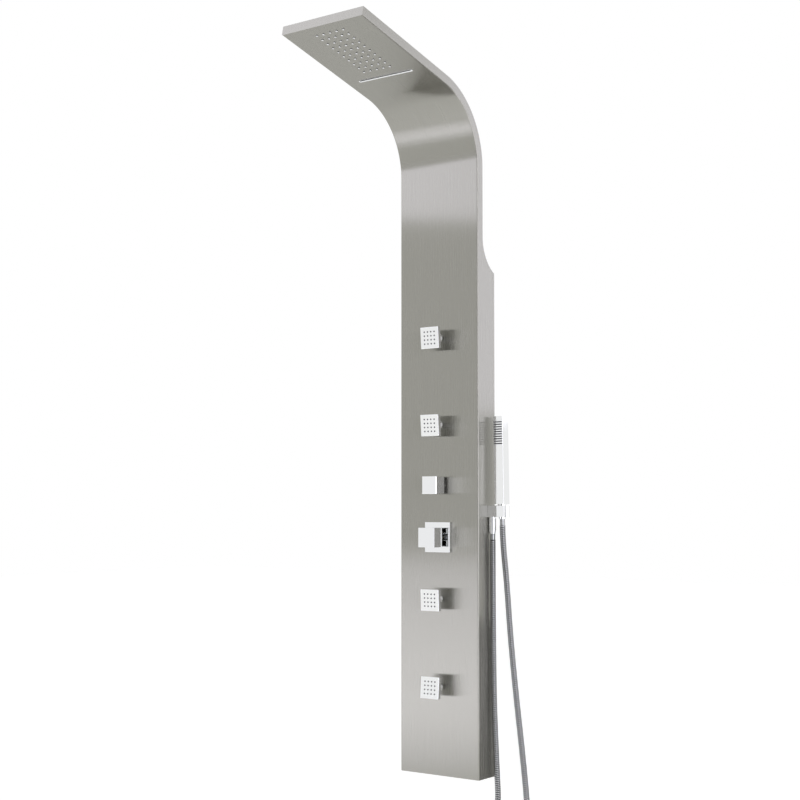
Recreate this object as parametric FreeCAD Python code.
"""Shower panel column, for a wall: a folded stainless panel that curves forward into a rain head,
with a single-lever mixer, a diverter knob, four swivelling body jets and a stick handset on a hose.

Frame, in millimetres: +X to the right as seen from the room, +Y into the wall, +Z up. The wall is the
plane Y = 0, and the origin is on it, midway between the two upper wall screws. Heights in this script
are measured from the panel's bottom edge, and up() turns them into Z.
"""

import FreeCAD, Part
import math
import os

V = FreeCAD.Vector
os.makedirs("parts", exist_ok=True)

# The folded panel
WIDTH = 220.0
BOX_DEPTH = 70.0  # wall to front skin, over the lower box
NECK_DEPTH = 21.0  # front skin to rear cover, over the neck and the head
SHEET = 1.2
EDGE_RADIUS = 3.0  # outside of the long folds
RETURN_FLANGE = 14.0
BOX_HEIGHT = 1168.0  # where the flared shoulder meets the wall
FLARE_TOP = 1248.0  # where the flare runs into the neck
BEND_START = 1409.0
BEND_RADIUS = 167.0  # of the front skin
BEND_TURN = 77.0
HEAD_LENGTH = 315.0
ORIGIN_HEIGHT = 1100.0

# Wall brackets
BRACKET_HEIGHTS = (1100.0, 300.0)  # of their screws
SCREW_SPACING = 120.0
SCREW_HOLE_RADIUS = 3.0

# Rain head
RAIN_COLUMNS = (-36.0, -18.0, 0.0, 18.0, 36.0)
RAIN_ROWS = 10
RAIN_FIRST = 113.8  # along the head, from the end of the bend
RAIN_PITCH = 18.86
RAIN_HOLE_RADIUS = 2.7
RAIN_MAT = 1.6  # thickness of the nozzles' mat
CHAMBER_DEPTH = 14.0
CHAMBER_WALL = 2.0
CHAMBER_INLET = (5.0, 3.0, 12.0)  # outside and bore radius of the rain chamber's inlet, and its length
FALL_AT = 81.0  # middle of the waterfall slot, along the head
FALL_WIDTH = 150.0
FALL_GAP = 8.0
FALL_MOUTH = 3.0  # the lip's opening, on the side away from the bend

# Controls, on the panel's centre line
MIXER_HEIGHT = 551.0
MIXER_PLATE = (70.0, 7.2)  # side, thickness
CUBE_SIDE = 45.0
CUBE_FRONT = 121.6  # from the wall
CUBE_DEPTH = 32.0
CUBE_WALL = 2.0
CARTRIDGE_RADIUS = 12.5
CARRIER_RADIUS = 8.0
LEVER_PIVOT = 66.0  # from the wall
LEVER_STEM_RADIUS = 4.5
LEVER_PIN_RADIUS = 1.5
SUPPLY_Y = -44.0  # the plane that the mixer's water comes and goes in
INLET_SPACING = 42.0
INLET_RADIUS = 10.475  # G 1/2 thread, outside
DIVERTER_HEIGHT = 672.0
KNOB_SIDE = 40.0
KNOB_FRONT = 110.0
KNOB_REAR = 76.0
KNOB_CAP = 4.0  # depth of the square cap on the knob's front
SPINDLE_RADIUS = 3.0
POLISHED_EDGE = 0.8  # rounding of the plated pieces' edges

# Body jets: height and rest tilt in degrees, positive looking down
JETS = ((1017.0, 4.2), (813.5, 5.0), (408.0, 2.7), (203.0, -4.9))
JET_SIDE = 50.0
JET_FRONT = 108.0
JET_THICKNESS = 9.5
JET_NOZZLES = 4  # each way
JET_PITCH = 9.3
JET_NOZZLE_RADIUS = 1.85
BALL_RADIUS = 7.0
BALL_AT = 75.0
BALL_NECK_RADIUS = 4.4
SOCKET_CLEARANCE = 0.1
SHANK_RADIUS = 9.0
THREAD_CLEARANCE = 0.05  # between a thread's crest and the nut or cap on it

# Pipes behind the panel: outside and inside radius
JET_PIPE = (5.5, 4.05)
RISER_PIPE = (6.5, 5.05)
MIXED_TAIL_RADIUS = 7.0  # of the tails between the mixer and the diverter
TAIL_RADIUS = 4.0
RISER_TAIL_RADIUS = 5.0
JET_PIPE_Y = -34.0
SIDE_TAIL_Y = -38.0
RISER_START = (16.0, -50.0)  # x to either side, y
RISER_Y = -52.0
RAIN_PIPE_X = 94.0
RAIN_PIPE_END = 54.3  # x of its end, just short of the chamber's side
WATERFALL_PIPE_X = 60.0  # to the left
CLAMP_HEIGHTS = (900.0, 1100.0)
CLAMP_WIDTH = 10.0

# Outlet, cradle and handset on the right side
BLOCK_END = 154.0
BLOCK_Y = (-30.5, -5.5)
BLOCK_HEIGHTS = (598.5, 625.0)
OUTLET_AT = (119.2, -23.3)
HOSE_NUT_RADIUS = 8.6
SEAT_AT = (141.65, -18.0, 611.75)
HANDSET_THREAD_RADIUS = 8.3
HANDSET_LEAN = 0.96  # degrees, the top towards the panel
HANDSET_SIZE = (25.0, 26.0)
HANDSET_HEIGHTS = (628.0, 831.0)
SPRAY_PLATE_WIDTH = 23.6
SPRAY_PLATE = (7.5, 68.0)  # its top and bottom edges, below the handset's top
SPRAY_ROWS = 10
SPRAY_FIRST = 13.5  # below the handset's top
SPRAY_PITCH = 5.55
SPRAY_SLOT = (22.4, 2.8)

# Hose
HOSE_RADIUS = 7.0
HOSE_BORE = 4.5
HOSE_GROOVE = 0.7  # depth of the groove between two ribs
HOSE_RIBS = 196
HOSE_TOP = (560.0, 594.0)  # heights of its two ends, at the nut and at the cone

# The hose's route, from the nut down, round the bottom and up to the cone: x, y, height
HOSE_ROUTE = [
    (119.2, -23.3, 560.0),
    (119.2, -23.3, 470.0),
    (120.1, -23.6, 330.0),
    (120.8, -23.0, 190.0),
    (124.3, -21.5, 80.0),
    (126.8, -19.0, 0.0),
    (127.3, -16.3, -42.0),
    (122.8, -13.5, -88.0),
    (138.9, -23.3, -126.6),
    (170.1, -42.1, -149.0),
    (206.9, -64.4, -150.0),
    (238.1, -83.2, -127.4),
    (254.2, -93.0, -88.0),
    (249.7, -90.2, -38.0),
    (241.1, -84.0, 15.0),
    (227.4, -76.0, 90.0),
    (206.4, -63.0, 190.0),
    (180.4, -45.0, 320.0),
    (159.1, -27.5, 455.0),
    (142.77, -18.0, 545.0),
    (141.95, -18.0, 594.0),
]

# Worked out from the above
BEND_Y = -BOX_DEPTH - BEND_RADIUS
INSIDE = WIDTH / 2 - SHEET
NECK_REAR = NECK_DEPTH - BOX_DEPTH  # y of the neck's rear face
FLARE_RISE = FLARE_TOP - BOX_HEIGHT
FLARE_RADIUS = (NECK_REAR**2 + FLARE_RISE**2) / (-2 * NECK_REAR)
PIPE_DEPTH = SHEET + CHAMBER_DEPTH / 2  # below the front skin, where pipes run through the neck
NECK_PIPE_Y = -BOX_DEPTH + PIPE_DEPTH


def up(height):
    return height - ORIGIN_HEIGHT


def at(x, y, height):
    return V(x, y, up(height))


def save(name, *solids):
    shape = solids[0] if len(solids) == 1 else Part.makeCompound(solids)
    shape.exportStep(f"parts/{name}.step")
    print(f"{name}: {len(shape.Solids)} solid(s), valid {shape.isValid()}, {shape.Volume:.0f} mm3")


def box(x, y, heights):
    """A block from its limits along X, along Y and in height."""
    corner = at(min(x), min(y), min(heights))
    return Part.makeBox(abs(x[1] - x[0]), abs(y[1] - y[0]), abs(heights[1] - heights[0]), corner)


def square(side, y, height):
    """A square block centred on the panel's middle line."""
    return box((-side / 2, side / 2), y, (height - side / 2, height + side / 2))


def rod(radius, start, end):
    """A round bar between two points, each given as x, y, height."""
    a, b = at(*start), at(*end)
    return Part.makeCylinder(radius, (b - a).Length, a, b - a)


def cone(radius_1, radius_2, start, end):
    a, b = at(*start), at(*end)
    return Part.makeCone(radius_1, radius_2, (b - a).Length, a, b - a)


def disc(radius, y, height, x=0.0):
    """A round bar along Y, between two distances from the wall."""
    return rod(radius, (x, -max(y), height), (x, -min(y), height))


def eased(solid, radius, axis):
    """The solid with its straight edges along one axis rounded."""
    edges = [e for e in solid.Edges if abs(abs(e.tangentAt(e.FirstParameter).dot(axis)) - 1) < 1e-6]
    return solid.makeFillet(radius, edges)


def fuse(*solids):
    return solids[0].multiFuse(list(solids[1:])).removeSplitter()


def cut(solid, *tools):
    return solid.cut(list(tools))


# ---------------------------------------------------------------- pipes


def corner_turn(before, corner, after):
    into = (corner - before).normalize()
    out = (after - corner).normalize()
    return into, out, into.getAngle(out)


def centreline(points, radii):
    """Straight runs joined by tangent arcs, as a wire."""
    edges = []
    place = points[0]
    for before, corner, after, radius in zip(points, points[1:], points[2:], radii):
        into, out, turn = corner_turn(before, corner, after)
        back = radius * math.tan(turn / 2)
        start, end = corner - into * back, corner + out * back
        inward = (out - into).normalize()
        middle = corner + inward * (radius / math.cos(turn / 2) - radius)
        edges.append(Part.LineSegment(place, start).toShape())
        edges.append(Part.Arc(start, middle, end).toShape())
        place = end
    edges.append(Part.LineSegment(place, points[-1]).toShape())
    return Part.Wire(edges)


def swept(wire, radius):
    first = wire.Edges[0]
    place, along = first.valueAt(first.FirstParameter), first.tangentAt(first.FirstParameter)
    return wire.makePipeShell([Part.Wire(Part.makeCircle(radius, place, along))], True, False)


def pipe(route, radii, outer, inner):
    wire = centreline([at(*point) for point in route], radii)
    solid = cut(swept(wire, outer), swept(wire, inner))
    expected = math.pi * (outer**2 - inner**2) * wire.Length
    print(f"  pipe {wire.Length:.0f} mm long, volume over expected {solid.Volume / expected:.3f}")
    return solid


# ---------------------------------------------------------------- panel


def head_point(depth, along):
    """A point of the head's section: so deep under the skin, so far past the bend."""
    turn = math.radians(BEND_TURN)
    reach = BEND_RADIUS + depth
    y = BEND_Y + reach * math.cos(turn) - along * math.sin(turn)
    return at(0, y, BEND_START + reach * math.sin(turn) + along * math.cos(turn))


def bend(depth):
    half = math.radians(BEND_TURN / 2)
    reach = BEND_RADIUS + depth
    middle = at(0, BEND_Y + reach * math.cos(half), BEND_START + reach * math.sin(half))
    return Part.Arc(at(0, BEND_Y + reach, BEND_START), middle, head_point(depth, 0)).toShape()


def line(a, b):
    return Part.LineSegment(a, b).toShape()


def front_path(depth, foot, tip):
    """The skin's own line, or one so deep behind it, from the foot to the tip."""
    y = -BOX_DEPTH + depth
    end = head_point(depth, HEAD_LENGTH - tip)
    return [line(at(0, y, foot), at(0, y, BEND_START)), bend(depth), line(head_point(depth, 0), end)]


def flare_end(inset, y):
    """The height at which the flare, moved in by inset, reaches that y."""
    radius = FLARE_RADIUS + inset
    return FLARE_TOP - math.sqrt(radius**2 - (NECK_REAR + FLARE_RADIUS - y) ** 2)


def rear_path(inset, end_y, tip):
    """The rear face's line, or one moved in by inset, from the tip back to the flare's end."""
    depth = NECK_DEPTH - inset
    y = NECK_REAR - inset
    centre_y = NECK_REAR + FLARE_RADIUS
    radius = FLARE_RADIUS + inset
    end = at(0, end_y, flare_end(inset, end_y))
    half = math.asin((up(FLARE_TOP) - end.z) / radius) / 2
    middle = at(0, centre_y - radius * math.cos(half), FLARE_TOP - radius * math.sin(half))
    return [
        line(head_point(depth, HEAD_LENGTH - tip), head_point(depth, 0)),
        bend(depth),
        line(at(0, y, BEND_START), at(0, y, FLARE_TOP)),
        Part.Arc(at(0, y, FLARE_TOP), middle, end).toShape(),
    ]


def extruded(edges, half_width):
    face = Part.Face(Part.Wire(Part.__sortEdges__(edges)))
    face.translate(V(-half_width, 0, 0))
    return face.extrude(V(2 * half_width, 0, 0))


def panel_solid(depth, inset, foot, tip, rear_y, half_width, radius):
    """The panel's full outline, with its long front folds rounded."""
    edges = front_path(depth, foot, tip) + rear_path(inset, rear_y, tip)
    reach = HEAD_LENGTH - tip
    edges.append(line(head_point(depth, reach), head_point(NECK_DEPTH - inset, reach)))
    edges.append(line(at(0, rear_y, flare_end(inset, rear_y)), at(0, rear_y, foot)))
    edges.append(line(at(0, rear_y, foot), at(0, -BOX_DEPTH + depth, foot)))
    solid = extruded(edges, half_width)
    skin = Part.Wire(front_path(depth, foot, tip))
    folds = []
    for edge in solid.Edges:
        middle = edge.valueAt((edge.FirstParameter + edge.LastParameter) / 2)
        on_side = abs(abs(middle.x) - half_width) < 1e-6
        if on_side and Part.Vertex(V(0, middle.y, middle.z)).distToShape(skin)[0] < 1e-4:
            folds.append(edge)
    return solid.makeFillet(radius, folds)


def to_head(solid):
    """Turns a solid built on the straight panel above the bend's start onto the head."""
    turned = solid.copy()
    turned.rotate(V(0, BEND_Y, up(BEND_START)), V(1, 0, 0), BEND_TURN)
    return turned


def skin_y(depth):
    return -BOX_DEPTH + depth


def rain_places():
    rows = [BEND_START + RAIN_FIRST + RAIN_PITCH * row for row in range(RAIN_ROWS)]
    return [(x, height) for height in rows for x in RAIN_COLUMNS]


def fall_slot(grow, depths):
    """The waterfall's slot with round ends, between two depths under the skin."""
    half, reach = FALL_GAP / 2 + grow, FALL_WIDTH / 2 - FALL_GAP / 2
    height = BEND_START + FALL_AT
    y = (skin_y(depths[0]), skin_y(depths[1]))
    middle = box((-reach, reach), y, (height - half, height + half))
    ends = [rod(half, (x, y[0], height), (x, y[1], height)) for x in (-reach, reach)]
    return fuse(middle, *ends)


def build_panel():
    shell = panel_solid(0, 0, 0, 0, 0, WIDTH / 2, EDGE_RADIUS)
    hollow = panel_solid(SHEET, -2.0, SHEET, SHEET, -SHEET, INSIDE, EDGE_RADIUS - SHEET)
    rear = WIDTH / 2 - RETURN_FLANGE
    opening = box((-rear, rear), (-5.0, 5.0), (RETURN_FLANGE, BOX_HEIGHT - RETURN_FLANGE))
    through = (BOX_DEPTH - 2 * SHEET, BOX_DEPTH + SHEET)
    holes = [disc(19.0, through, MIXER_HEIGHT), disc(13.6, through, DIVERTER_HEIGHT)]
    holes += [disc(SHANK_RADIUS + 0.3, through, height) for height, tilt in JETS]
    side = (INSIDE - 2, SEAT_AT[1], SEAT_AT[2]), (WIDTH / 2 + 2, SEAT_AT[1], SEAT_AT[2])
    holes.append(rod(10.6, *side))
    rain = [to_head(disc(RAIN_HOLE_RADIUS, through, height, x)) for x, height in rain_places()]
    holes.append(to_head(fall_slot(0, (-SHEET, 2 * SHEET))))
    save("front_shell", cut(shell, hollow, opening, *holes, *rain))

    gap = SHEET + 0.2
    outer, inner = rear_path(0, -gap, gap), rear_path(SHEET, -gap, gap)
    tips = [head_point(NECK_DEPTH - inset, HEAD_LENGTH - gap) for inset in (0, SHEET)]
    ends = [at(0, -gap, flare_end(inset, -gap)) for inset in (0, SHEET)]
    save("back_cover", extruded([*outer, *inner, line(*tips), line(*ends)], INSIDE - 0.15))


def bracket(height):
    """A wall bracket: a plate with two screw holes, a shelf and an upturned lip."""
    plate = box((-80, 80), (-2, 0), (height - 18, height + 20))
    shelf = box((-80, 80), (-12, 0), (height + 18, height + 20))
    lip = box((-80, 80), (-12, -10), (height + 18, height + 34))
    half = SCREW_SPACING / 2
    screws = [disc(SCREW_HOLE_RADIUS, (-1, 3), height, x) for x in (-half, half)]
    access = [disc(5.5, (9, 13), height + 26, x) for x in (-half, half)]
    return cut(fuse(plate, shelf, lip), *screws, *access)


def hanger(height):
    """The panel's own rail, which hooks over a wall bracket's lip."""
    web = box((-INSIDE, INSIDE), (-14.5, -12.5), (height + 2, height + 40))
    top = box((-INSIDE, INSIDE), (-14.5, -7.5), (height + 38, height + 40))
    hook = box((-76, 76), (-9.5, -7.5), (height + 20.2, height + 40))
    return fuse(web, top, hook)


def build_wall_fixing():
    save("wall_bracket_upper", bracket(BRACKET_HEIGHTS[0]))
    save("wall_bracket_lower", bracket(BRACKET_HEIGHTS[1]))
    save("hanger_rails", *[hanger(height) for height in BRACKET_HEIGHTS])


def build_rain_chamber():
    """The chamber behind the rain nozzles, and the soft mat of nozzles that stand through the skin."""
    mat_y = (skin_y(SHEET), skin_y(SHEET + RAIN_MAT))
    margin = 10
    first = BEND_START + RAIN_FIRST - margin
    last = BEND_START + RAIN_FIRST + RAIN_PITCH * (RAIN_ROWS - 1) + margin
    half = RAIN_COLUMNS[-1] + 12
    mat = box((-half, half), mat_y, (first, last))
    tips = [cone(2.5, 1.9, (x, mat_y[0], height), (x, skin_y(-1.8), height)) for x, height in rain_places()]
    bores = [disc(0.8, (BOX_DEPTH - 4, BOX_DEPTH + 3), height, x) for x, height in rain_places()]
    save("rain_nozzle_mat", to_head(cut(mat.multiFuse(tips), *bores)))

    rim = 6
    tray = box((-half - rim, half + rim), (mat_y[1], skin_y(CHAMBER_DEPTH)), (first - rim, last + rim))
    roof = skin_y(CHAMBER_DEPTH - CHAMBER_WALL)
    inside = box((-half - 2, half + 2), (mat_y[1], roof), (first - 2, last + 2))
    outside, way, length = CHAMBER_INLET
    height = first + 30
    side = half + rim
    inlet = rod(outside, (side, NECK_PIPE_Y, height), (side + length, NECK_PIPE_Y, height))
    bore = rod(way, (half + 1, NECK_PIPE_Y, height), (side + length + 1, NECK_PIPE_Y, height))
    save("rain_chamber", to_head(cut(fuse(tray, inlet), inside, bore)))
    return height


def build_waterfall():
    """The waterfall's chamber, and the plated lip in its slot that the sheet of water leaves over."""
    height = BEND_START + FALL_AT
    half = FALL_WIDTH / 2 + 7
    body = box((-half, half), (skin_y(SHEET), skin_y(CHAMBER_DEPTH)), (height - 12, height + 12))
    depths = (skin_y(SHEET + CHAMBER_WALL), skin_y(CHAMBER_DEPTH - CHAMBER_WALL))
    inside = box((-half + 3, half - 3), depths, (height - 9, height + 9))
    outside, way, _ = CHAMBER_INLET
    x = -WATERFALL_PIPE_X
    inlet = rod(outside, (x, NECK_PIPE_Y, height - 22), (x, NECK_PIPE_Y, height - 12))
    bore = rod(way, (x, NECK_PIPE_Y, height - 23), (x, NECK_PIPE_Y, height - 8))
    lip = fall_slot(-0.2, (-1.0, SHEET + CHAMBER_WALL))
    save("waterfall_chamber", to_head(cut(fuse(body, inlet), inside, lip, bore)))

    away = FALL_GAP / 2 - 0.7
    reach = FALL_WIDTH / 2 - FALL_GAP / 2
    mouth = box((-reach, reach), (skin_y(-2), skin_y(6)), (height + away - FALL_MOUTH, height + away))
    save("waterfall_lip", to_head(cut(lip, mouth)))


# ---------------------------------------------------------------- mixer


def build_mixer_body():
    """The brass body with two threaded inlets and an outlet, its filters, cartridge and nut."""
    h = MIXER_HEIGHT
    inlet_xs = (-INLET_SPACING / 2, INLET_SPACING / 2)
    block = eased(box((-32, 32), (-66, -22), (h - 22, h + 22)), 4, V(0, 1, 0))
    neck_radius = 16
    neck = disc(neck_radius, (60, 74), h)
    inlets = []
    bores = []
    for x in inlet_xs:
        inlets.append(rod(12.5, (x, SUPPLY_Y, h - 30), (x, SUPPLY_Y, h - 20)))
        inlets.append(rod(INLET_RADIUS, (x, SUPPLY_Y, h - 48), (x, SUPPLY_Y, h - 30)))
        bores.append(rod(6.5, (x, SUPPLY_Y, h - 49), (x, SUPPLY_Y, h - 8)))
    outlet = rod(MIXED_TAIL_RADIUS, (0, SUPPLY_Y, h + 20), (0, SUPPLY_Y, h + 34))
    bores.append(rod(5.0, (0, SUPPLY_Y, h), (0, SUPPLY_Y, h + 35)))
    seat = disc(CARTRIDGE_RADIUS + THREAD_CLEARANCE, (31, 75), h)
    save("mixer_body", cut(fuse(block, neck, outlet, *inlets), seat, *bores))
    save("inlet_filters", *[rod(6.45, (x, SUPPLY_Y, h - 46), (x, SUPPLY_Y, h - 41)) for x in inlet_xs])

    body = disc(CARTRIDGE_RADIUS, (32, 72), h)
    well = disc(CARRIER_RADIUS + THREAD_CLEARANCE, (55, 73), h)
    ports = [rod(2.5, (x, -30, h + rise), (x, -42, h + rise)) for x, rise in ((-6, -5), (6, -5), (0, 6))]
    save("mixer_cartridge", cut(body, well, *ports))

    ring = disc(18, (70.2, 76.2), h)
    thread = disc(neck_radius + THREAD_CLEARANCE, (70, 74), h)
    save("cartridge_nut", cut(ring, thread, disc(11.5, (70, 77), h)))


def build_mixer_front():
    """The plate, and the lever: a square hollow cap on a stem that tilts in the cartridge's carrier."""
    h = MIXER_HEIGHT
    pivot_y = -LEVER_PIVOT
    side, thick = MIXER_PLATE
    front = BOX_DEPTH + thick
    plate = square(side, (-front, -BOX_DEPTH), h)
    plate = plate.makeFillet(POLISHED_EDGE, plate.Edges)
    rim = disc(13.4, (front - 1, front + 1.5), h)
    nut_room = disc(18.3, (BOX_DEPTH - 1, front - 0.6), h)
    save("mixer_plate", cut(fuse(plate, rim), nut_room, disc(12, (70, 90), h)))

    carrier = disc(CARRIER_RADIUS, (56, 71.5), h)
    slot = box((-2.5, 2.5), (-72, -58), (h - 9, h + 9))
    hinge = rod(LEVER_PIN_RADIUS + THREAD_CLEARANCE, (-9, pivot_y, h), (9, pivot_y, h))
    save("cartridge_carrier", cut(carrier, slot, hinge))

    tongue = box((-2.3, 2.3), (-75, -60), (h - 3.2, h + 3.2))
    stem = disc(LEVER_STEM_RADIUS, (74.2, 103), h)
    pin_hole = rod(LEVER_PIN_RADIUS, (-5, pivot_y, h), (5, pivot_y, h))
    save("lever_stem", cut(fuse(tongue, stem), pin_hole))
    save("lever_pivot_pin", rod(LEVER_PIN_RADIUS, (-7.3, pivot_y, h), (7.3, pivot_y, h)))

    rear = CUBE_FRONT - CUBE_DEPTH
    screw_y = -97
    cube = square(CUBE_SIDE, (-CUBE_FRONT, -rear), h)
    cube = cube.makeFillet(POLISHED_EDGE, cube.Edges)
    hollow = square(CUBE_SIDE - 2 * CUBE_WALL, (-CUBE_FRONT + 4, -rear + 1), h)
    boss = disc(8.5, (rear + 1, CUBE_FRONT - 3), h)
    bore = disc(LEVER_STEM_RADIUS, (rear - 1, 103.2), h)
    screw_way = rod(2.1, (0, screw_y, h - 30), (0, screw_y, h))
    save("lever_cube", cut(fuse(cut(cube, hollow), boss), bore, screw_way))
    save("lever_grub_screw", rod(2.0, (0, screw_y, h - 8.4), (0, screw_y, h - LEVER_STEM_RADIUS)))


# ---------------------------------------------------------------- diverter


def build_diverter_body():
    """The brass body with one tail from the mixer and five to the outlets, its cartridge and nut."""
    h = DIVERTER_HEIGHT
    block = eased(box((-26, 26), (-66, -24), (h - 24, h + 24)), 4, V(0, 1, 0))
    neck = disc(13, (60, 73.5), h)
    riser_x, riser_y = RISER_START
    ports = {
        (0, SUPPLY_Y): (h - 34, h - 20, MIXED_TAIL_RADIUS),
        (0, JET_PIPE_Y): (h + 20, h + 34, TAIL_RADIUS),
        (riser_x, riser_y): (h + 20, h + 34, RISER_TAIL_RADIUS),
        (-riser_x, riser_y): (h + 20, h + 34, RISER_TAIL_RADIUS),
    }
    wall = 1.5
    nipples = []
    bores = []
    for (x, y), (low, high, radius) in ports.items():
        nipples.append(rod(radius, (x, y, low), (x, y, high)))
        bores.append(rod(radius - wall, (x, y, low - 1), (x, y, high + 1)))
    for side in (-1, 1):
        nipples.append(rod(TAIL_RADIUS, (side * 20, SIDE_TAIL_Y, h), (side * 38, SIDE_TAIL_Y, h)))
        bores.append(rod(TAIL_RADIUS - wall, (side * 12, SIDE_TAIL_Y, h), (side * 39, SIDE_TAIL_Y, h)))
    seat = disc(10.25, (33, 75), h)
    save("diverter_body", cut(fuse(block, neck, *nipples), seat, *bores))

    body = disc(10.2, (34, 74.5), h)
    chamber = disc(7.6, (40, 44), h)
    spindle_bore = disc(SPINDLE_RADIUS + THREAD_CLEARANCE, (42, 76), h)
    save("diverter_cartridge", cut(body, chamber, spindle_bore))
    nut = eased(hexagon(16.5, (70, 74), h), 1, V(0, 1, 0))
    save("diverter_nut", cut(nut, disc(13 + THREAD_CLEARANCE, (69, 75), h)))
    save("diverter_spindle", fuse(disc(SPINDLE_RADIUS, (42, 96), h), disc(7.3, (40.5, 43.5), h)))


def build_diverter_knob():
    """The square hollow knob on the spindle, and the slightly wider cap that closes its front."""
    h = DIVERTER_HEIGHT
    cap_rear = KNOB_FRONT - KNOB_CAP
    side = KNOB_SIDE - 1.2
    knob = eased(square(side, (-cap_rear, -KNOB_REAR), h), POLISHED_EDGE, V(0, 1, 0))
    hollow = square(side - 2 * CUBE_WALL, (-cap_rear + 4, -KNOB_REAR + 1), h)
    boss = disc(7.0, (KNOB_REAR + 1, cap_rear - 3), h)
    bore = disc(SPINDLE_RADIUS, (KNOB_REAR - 1, 96.2), h)
    save("diverter_knob", cut(fuse(cut(knob, hollow), boss), bore))
    cap = square(KNOB_SIDE + 0.6, (-KNOB_FRONT, -cap_rear), h)
    rim = [e for e in cap.Edges if abs(e.CenterOfMass.y + KNOB_FRONT) < 1e-6]
    save("knob_cap", cap.makeChamfer(1.2, rim))


def hexagon(radius, y, height):
    """A hexagonal bar along Y, with that radius to its corners."""
    corners = [math.radians(60 * i) for i in range(7)]
    points = [at(radius * math.cos(a), -max(y), height + radius * math.sin(a)) for a in corners]
    return Part.Face(Part.makePolygon(points)).extrude(V(0, max(y) - min(y), 0))


# ---------------------------------------------------------------- body jets


def jet_socket(h):
    return Part.makeSphere(BALL_RADIUS + SOCKET_CLEARANCE, at(0, -BALL_AT, h))


def jet_collar(h):
    """The low ring that holds a jet's ball, with the shank that passes through the panel."""
    ring = cone(10.6, 8.8, (0, -BOX_DEPTH, h), (0, -BALL_AT - 3.3, h))
    shank = disc(SHANK_RADIUS, (58, BOX_DEPTH), h)
    well = disc(SHANK_RADIUS - 1.55, (57, BALL_AT - 1), h)
    return cut(fuse(ring, shank), jet_socket(h), well)


def jet_union(h, barbs):
    """The brass union behind a jet, with a hose barb up, down or both."""
    cap = disc(13.0, (50, 66.3), h)
    body = box((-9, 9), (-50, -26), (h - 10, h + 10))
    y = JET_PIPE_Y
    stubs = [rod(TAIL_RADIUS, (0, y, h + side * 8), (0, y, h + side * 24)) for side in barbs]
    ways = [rod(2.5, (0, y, h), (0, y, h + side * 25)) for side in barbs]
    thread = disc(SHANK_RADIUS + THREAD_CLEARANCE, (58, 67), h)
    return cut(fuse(cap, body, *stubs), thread, disc(5.0, (30, 60), h), *ways)


def jet_lock_nut(h):
    thread = disc(SHANK_RADIUS + THREAD_CLEARANCE, (60, 70), h)
    return cut(hexagon(15.5, (66.4, 68.7), h), thread)


def jet_grid():
    offsets = [(i - (JET_NOZZLES - 1) / 2) * JET_PITCH for i in range(JET_NOZZLES)]
    return [(x, z) for z in offsets for x in offsets]


def build_jet(number, h, tilt):
    """One jet's moving pieces: the seat that spins, then the ball and the face that tilt."""
    seat = disc(SHANK_RADIUS - 1.6, (62, BALL_AT - 2), h)
    save(f"jet_{number}_seat", cut(seat, jet_socket(h), disc(4.2, (60, BALL_AT), h)))

    rear = JET_FRONT - JET_THICKNESS
    wall = 2.5  # round the hollow inside of the face
    front_wall = 1.5
    ball = Part.makeSphere(BALL_RADIUS, at(0, -BALL_AT, h))
    neck = disc(BALL_NECK_RADIUS, (BALL_AT, rear + wall), h)
    ball = cut(fuse(ball, neck), disc(2.6, (60, rear + 3), h))
    face = square(JET_SIDE, (-JET_FRONT, -rear), h)
    face = face.makeFillet(0.9, face.Edges)
    inside = square(JET_SIDE - 2 * wall, (-JET_FRONT + front_wall, -rear - wall), h)
    through = (JET_FRONT - 2, JET_FRONT + 1)
    holes = [disc(JET_NOZZLE_RADIUS + 0.05, through, h + z, x) for x, z in jet_grid()]
    face = cut(face, inside, disc(BALL_NECK_RADIUS, (rear - 1, rear + 3), h), *holes)
    mat = square(JET_SIDE - 2 * wall - 0.4, (-JET_FRONT + front_wall, -JET_FRONT + front_wall + 1.8), h)
    tips = [disc(JET_NOZZLE_RADIUS, (JET_FRONT - 2, JET_FRONT + 0.3), h + z, x) for x, z in jet_grid()]
    bores = [disc(0.6, (JET_FRONT - 4, JET_FRONT + 1), h + z, x) for x, z in jet_grid()]
    mat = cut(mat.multiFuse(tips), *bores)
    for name, solid in (("ball", ball), ("face", face), ("nozzle_mat", mat)):
        solid.rotate(at(0, -BALL_AT, h), V(1, 0, 0), tilt)
        save(f"jet_{number}_{name}", solid)


def build_jets():
    barbs = [(-1,), (-1, 1), (-1, 1), (1,)]
    save("jet_collars", *[jet_collar(h) for h, tilt in JETS])
    save("jet_unions", *[jet_union(h, ways) for (h, tilt), ways in zip(JETS, barbs)])
    save("jet_lock_nuts", *[jet_lock_nut(h) for h, tilt in JETS])
    for number, (h, tilt) in enumerate(JETS, 1):
        build_jet(number, h, tilt)


# ---------------------------------------------------------------- pipes inside the panel


def tube(start, end, outer, inner):
    """A straight pipe between two points."""
    return cut(rod(outer, start, end), rod(inner, start, end))


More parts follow.
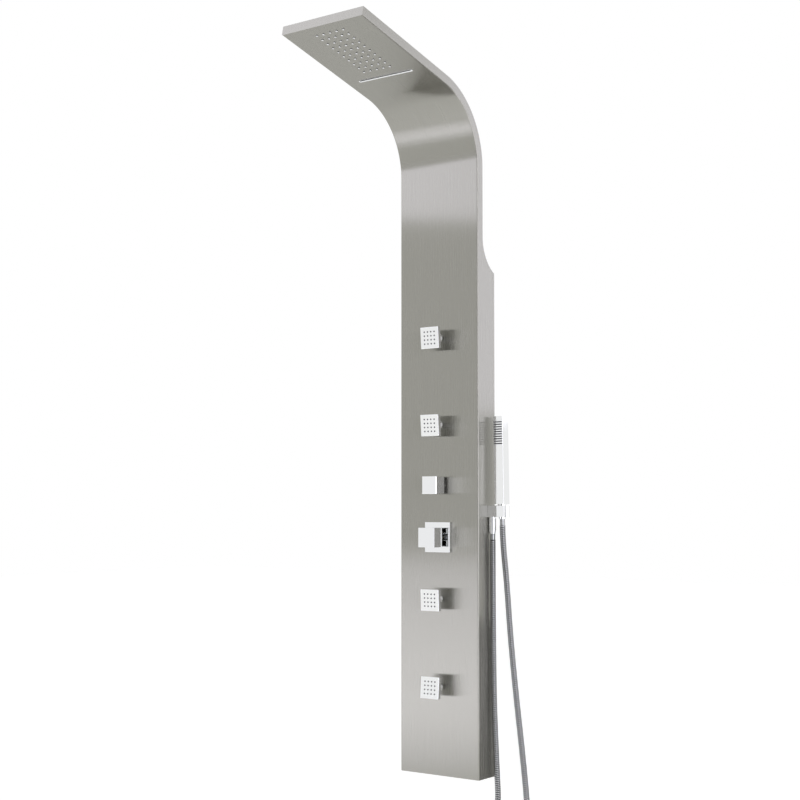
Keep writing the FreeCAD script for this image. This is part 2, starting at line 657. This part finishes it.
def build_low_pipes():
    """The pipes from the mixer to the diverter, and from there to the jets and the handset's outlet."""
    m, d = MIXER_HEIGHT, DIVERTER_HEIGHT
    ends = (0, SUPPLY_Y, m + 22.5), (0, SUPPLY_Y, d - 24.5)
    save("mixed_water_pipe", tube(*ends, 9.0, MIXED_TAIL_RADIUS + THREAD_CLEARANCE))

    outer, inner = JET_PIPE
    j1, j2, j3, j4 = [h for h, tilt in JETS]
    clear = 10.5  # from a jet's height to the end of a pipe on its union
    spans = [(d + 24.5, j2 - clear), (j2 + clear, j1 - clear), (j4 + clear, j3 - clear)]
    pipes = [tube((0, JET_PIPE_Y, low), (0, JET_PIPE_Y, high), outer, inner) for low, high in spans]
    around = [(-26.5, SIDE_TAIL_Y, d), (-54, SIDE_TAIL_Y, d), (-54, -36, 480)]
    around += [(0, JET_PIPE_Y, 447), (0, JET_PIPE_Y, j3 + clear)]
    pipes.append(pipe(around, (15, 22, 16), outer, inner))
    save("jet_pipes", *pipes)

    y, h = SEAT_AT[1], SEAT_AT[2]
    route = [(26.5, SIDE_TAIL_Y, d), (58, SIDE_TAIL_Y, d), (58, y, h), (84, y, h)]
    save("handset_pipe", pipe(route, (16, 16), outer, inner))


def riser(x, turned_at):
    """A climbing pipe's points and radii: from the diverter to one side, and up the neck into the bend."""
    start_x, start_y = math.copysign(RISER_START[0], x), RISER_START[1]
    neck_bend = BEND_RADIUS + PIPE_DEPTH
    corner = BEND_START + neck_bend * math.tan(math.radians(BEND_TURN / 2))
    points = [(start_x, start_y, DIVERTER_HEIGHT + 24.5), (start_x, start_y, 740), (x, RISER_Y, turned_at)]
    points += [(x, RISER_Y, 1180), (x, NECK_PIPE_Y, 1260), (x, NECK_PIPE_Y, corner)]
    return [at(*point) for point in points], [30, 40, 60, 60, neck_bend]


def clamp(x, height):
    """A ring round a climbing pipe, on a foot that stands on the inside of the front skin."""
    outer = RISER_PIPE[0]
    low, high = height - CLAMP_WIDTH / 2, height + CLAMP_WIDTH / 2
    ring = rod(outer + 1.4, (x, RISER_Y, low), (x, RISER_Y, high))
    foot = box((x - 3.5, x + 3.5), (skin_y(SHEET), RISER_Y), (low, high))
    way = rod(outer + THREAD_CLEARANCE, (x, RISER_Y, low - 1), (x, RISER_Y, high + 1))
    return cut(fuse(ring, foot), way)


def build_risers(rain_inlet_height):
    """The two pipes that climb the neck and turn with it into the head, and the clamps that hold them."""
    outer, inner = RISER_PIPE
    points, radii = riser(RAIN_PIPE_X, 850)
    end = head_point(PIPE_DEPTH, rain_inlet_height - BEND_START)
    points += [V(RAIN_PIPE_X, end.y, end.z), V(RAIN_PIPE_END, end.y, end.z)]
    wire = centreline(points, radii + [16])
    save("rain_pipe", cut(swept(wire, outer), swept(wire, inner)))

    points, radii = riser(-WATERFALL_PIPE_X, 830)
    end = head_point(PIPE_DEPTH, FALL_AT - 12.3)
    wire = centreline(points + [V(-WATERFALL_PIPE_X, end.y, end.z)], radii)
    save("waterfall_pipe", cut(swept(wire, outer), swept(wire, inner)))

    held = (RAIN_PIPE_X, -WATERFALL_PIPE_X)
    save("pipe_clamps", *[clamp(x, height) for x in held for height in CLAMP_HEIGHTS])


# ---------------------------------------------------------------- outlet, cradle and handset


def leaned(solid):
    turned = solid.copy()
    turned.rotate(at(*SEAT_AT), V(0, 1, 0), -HANDSET_LEAN)
    return turned


def build_outlet():
    sx, sy, sh = SEAT_AT
    ox, oy = OUTLET_AT
    low, high = BLOCK_HEIGHTS
    block = box((WIDTH / 2, BLOCK_END), BLOCK_Y, BLOCK_HEIGHTS)
    block = block.makeFillet(0.8, block.Edges)
    tail = rod(10.4, (92, sy, sh), (WIDTH / 2 + 1, sy, sh))
    barb = rod(4.0, (82, sy, sh), (93, sy, sh))
    nipple = rod(7.2, (ox, oy, 586), (ox, oy, low + 1))
    across = rod(2.5, (81, sy, sh), (ox, sy, sh))
    down = rod(4.0, (ox, oy, 585), (ox, oy, sh))
    seat = leaned(cone(8.1, 10.5, (sx, sy, low - 0.5), (sx, sy, high + 0.5)))
    slot = leaned(box((sx, BLOCK_END + 5), (sy - 7.8, sy + 7.8), (low - 2, high + 2)))
    save("outlet_cradle", cut(fuse(block, tail, barb, nipple), across, down, seat, slot))
    nut = rod(14, (100, sy, sh), (INSIDE, sy, sh))
    save("outlet_lock_nut", cut(nut, rod(10.45, (99, sy, sh), (INSIDE + 1, sy, sh))))

    bottom = HOSE_TOP[0]
    shoulder = bottom + 8
    taper = cone(7.4, HOSE_NUT_RADIUS, (ox, oy, bottom), (ox, oy, shoulder))
    nut = fuse(rod(HOSE_NUT_RADIUS, (ox, oy, shoulder), (ox, oy, 596)), taper)
    thread = rod(7.25, (ox, oy, 584), (ox, oy, 597))
    save("hose_nut", cut(nut, thread, rod(HOSE_BORE, (ox, oy, bottom - 1), (ox, oy, 590))))
    washer = cut(rod(7.2, (ox, oy, 584), (ox, oy, 586)), rod(4.2, (ox, oy, 583), (ox, oy, 587)))
    save("hose_washer_outlet", washer)


def build_handset():
    sx, sy, sh = SEAT_AT
    low, high = HANDSET_HEIGHTS
    half_x, half_y = HANDSET_SIZE[0] / 2, HANDSET_SIZE[1] / 2
    front = sy - half_y
    body = box((sx - half_x, sx + half_x), (front, sy + half_y), (low, high))
    body = eased(body, 1.0, V(0, 0, 1))
    thread = rod(HANDSET_THREAD_RADIUS, (sx, sy, 610), (sx, sy, low + 1))
    way = rod(5.5, (sx, sy, 609), (sx, sy, high - 20))
    plate_x = (sx - SPRAY_PLATE_WIDTH / 2, sx + SPRAY_PLATE_WIDTH / 2)
    plate_h = (high - SPRAY_PLATE[1], high - SPRAY_PLATE[0])
    recess = box(plate_x, (front - 1, front + 5.0), plate_h)
    spray = rod(4.0, (sx, sy, high - 40), (sx, front + 1, high - 40))
    save("handset_body", leaned(cut(fuse(body, thread), way, recess, spray)))

    rows = [high - SPRAY_FIRST - SPRAY_PITCH * row for row in range(SPRAY_ROWS)]
    slot_x, slot_h = SPRAY_SLOT[0] / 2, SPRAY_SLOT[1] / 2
    plate = box(plate_x, (front, front + 2.5), plate_h)
    through = (front - 1, front + 3)
    slots = [box((sx - slot_x, sx + slot_x), through, (h - slot_h, h + slot_h)) for h in rows]
    save("handset_spray_plate", leaned(cut(plate, *slots)))

    mat = box(plate_x, (front + 2.5, front + 4.9), plate_h)
    bar_x, bar_h = slot_x - 0.2, slot_h - 0.2
    bars = []
    bores = []
    for h in rows:
        bars.append(box((sx - bar_x, sx + bar_x), (front + 1.2, front + 3), (h - bar_h, h + bar_h)))
        bores += [rod(0.6, (sx + 4 * i, front, h), (sx + 4 * i, front + 6, h)) for i in range(-2, 3)]
    save("handset_nozzle_mat", leaned(cut(mat.multiFuse(bars), *bores)))

    end = HOSE_TOP[1]
    rim_radius = 10.16
    taper = cone(7.7, rim_radius, (sx, sy, end), (sx, sy, low - 3))
    nut = fuse(taper, rod(rim_radius, (sx, sy, low - 3), (sx, sy, low - 0.1)))
    thread = rod(HANDSET_THREAD_RADIUS + THREAD_CLEARANCE, (sx, sy, 608), (sx, sy, low + 2))
    nut = cut(nut, thread, rod(HOSE_BORE, (sx, sy, end - 4), (sx, sy, 612)))
    save("hose_cone", leaned(nut))
    washer = rod(HANDSET_THREAD_RADIUS, (sx, sy, 608), (sx, sy, 610))
    washer = cut(washer, rod(4.4, (sx, sy, 607), (sx, sy, 611)))
    save("hose_washer_handset", leaned(washer))


# ---------------------------------------------------------------- hose


def hose_radii(points):
    """Each arc is as large as its two runs allow."""
    radii = []
    for before, corner, after in zip(points, points[1:], points[2:]):
        into, out, turn = corner_turn(before, corner, after)
        shorter = min((corner - before).Length, (after - corner).Length)
        radii.append(0.45 * shorter / math.tan(turn / 2))
    return radii


def ring(radius, place, along):
    """A circle square to the hose, with its start always on the same side."""
    across = V(0.517, 0.856, 0)
    side = (across - along * across.dot(along)).normalize()
    turn = FreeCAD.Rotation(side, along.cross(side), along, "ZXY")
    circle = Part.makeCircle(radius)
    circle.Placement = FreeCAD.Placement(place, turn)
    return Part.Wire(circle)


def build_hose():
    points = [at(*p) for p in HOSE_ROUTE]
    radii = hose_radii(points)
    wire = centreline(points, radii)
    print("  hose bend radii, mm:", " ".join(f"{r:.0f}" for r in radii))
    print(f"  hose {wire.Length:.0f} mm long, lowest at {wire.BoundBox.ZMin - HOSE_RADIUS:.0f}")

    def place_at(distance):
        """The point of the route so far along it, and its direction there."""
        for edge in wire.OrderedEdges:
            if distance <= edge.Length + 1e-6:
                break
            distance -= edge.Length
        spot = edge.getParameterByLength(min(distance, edge.Length))
        return edge.valueAt(spot), edge.tangentAt(spot)

    end = 2 * HOSE_RADIUS  # plain at both ends
    pitch = (wire.Length - 2 * end) / HOSE_RIBS
    groove = HOSE_RADIUS - HOSE_GROOVE
    stations = [(0.0, groove)]
    for rib in range(HOSE_RIBS):
        start = end + rib * pitch
        shape = ((0.04, groove), (0.2, HOSE_RADIUS), (0.8, HOSE_RADIUS), (0.96, groove))
        stations += [(start + share * pitch, radius) for share, radius in shape]
    stations.append((wire.Length, groove))
    outer = Part.makeLoft([ring(radius, *place_at(d)) for d, radius in stations], True, True)
    solid = cut(outer, swept(wire, HOSE_BORE))
    save("hose", solid)


build_panel()
build_wall_fixing()
rain_inlet = build_rain_chamber()
build_waterfall()
build_mixer_body()
build_mixer_front()
build_diverter_body()
build_diverter_knob()
build_jets()
build_low_pipes()
build_risers(rain_inlet)
build_outlet()
build_handset()
build_hose()
